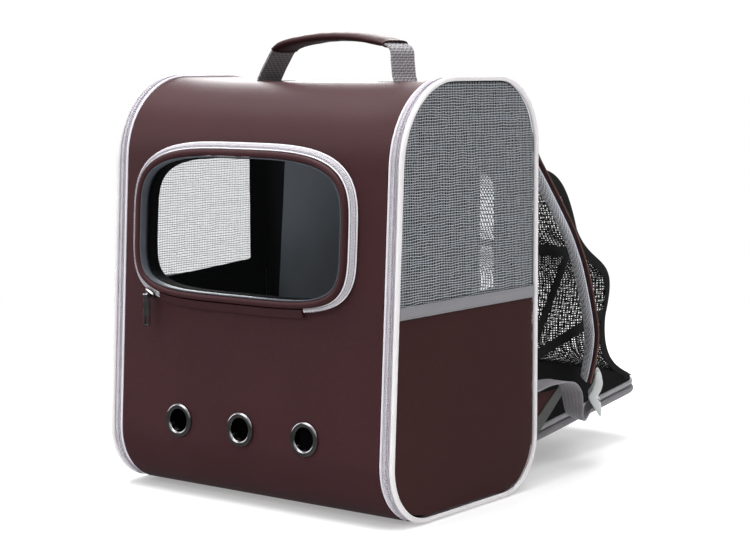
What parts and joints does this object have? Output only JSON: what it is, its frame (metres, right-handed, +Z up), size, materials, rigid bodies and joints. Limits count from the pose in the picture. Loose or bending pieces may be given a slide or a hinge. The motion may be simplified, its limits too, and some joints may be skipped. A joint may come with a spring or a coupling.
{
  "type": "pet carrier backpack",
  "caption": "Upright leatherette pet carrier backpack with a raised clear window, net sides, vent eyelets, a carrying handle, shoulder straps and an unfolded net tent at the back.",
  "frame": {"origin": "middle of the base's underside, where the bag stands", "axes": "+Z up, the window faces -Y, the tent opens towards +Y, +X to the right as seen from the front"},
  "size_m": [0.362, 0.5329, 0.446],
  "materials": {
    "leather": "satin",
    "side_leather": "satin",
    "lining": "matte",
    "side_net": "matte",
    "webbing": "matte",
    "piping": "satin",
    "zip_tape": "matte",
    "zip_coil": "satin",
    "clear_sheet": "gloss",
    "dark_metal": "polished",
    "tent_net": "matte",
    "tent_tape": "matte",
    "air_mesh": "matte",
    "buckle": "satin"
  },
  "bodies": {
    "carrier": {"front_top_panel": "leather", "back_panel": "side_leather", "base_panel": "side_leather", "lining": "lining", "side_lower_left": "side_leather", "side_lower_right": "side_leather", "side_mesh_left": "side_net", "side_mesh_right": "side_net", "side_lining_left": "lining", "side_lining_right": "lining", "side_band_left": "webbing", "side_band_right": "webbing", "side_piping_left": "piping", "side_piping_right": "piping", "seam_piping_left": "piping", "seam_piping_right": "piping", "side_zip_tape_left": "zip_tape", "side_zip_tape_right": "zip_tape", "side_zip_coil_left": "zip_coil", "side_zip_coil_right": "zip_coil", "window_rim": "leather", "window_lip": "webbing", "window_pane": "clear_sheet", "window_zip_tape": "zip_tape", "window_zip_coil": "zip_coil", "window_hinge": "leather", "window_zip_slider": "dark_metal", "vent_grommet_left": "dark_metal", "vent_grommet_middle": "dark_metal", "vent_grommet_right": "dark_metal", "handle_webbing": "webbing", "handle_grip": "leather", "rear_zip_tape": "zip_tape", "tent_canopy": "tent_net", "tent_side_left": "tent_net", "tent_side_right": "tent_net", "tent_binding_left": "tent_tape", "tent_binding_right": "tent_tape", "tent_floor": "tent_tape", "tent_floor_rim_upper": "webbing", "tent_floor_rim_lower": "webbing", "strap_cover_left": "leather", "strap_cover_right": "leather", "strap_pad_left": "air_mesh", "strap_pad_right": "air_mesh", "strap_adjuster_left": "buckle", "strap_adjuster_right": "buckle", "strap_webbing_left": "webbing", "strap_webbing_right": "webbing", "strap_tab_left": "side_leather", "strap_tab_right": "side_leather"},
    "zip_pull": {"window_zip_pull": "dark_metal"}
  },
  "joints": [
    {"name": "zip_pull_swing", "type": "hinge", "parent": "carrier", "child": "zip_pull", "pos_m": [-0.11836, -0.1234, 0.19319], "axis": [-1, 0, 0], "range_deg": [-15, 150]}
  ]
}
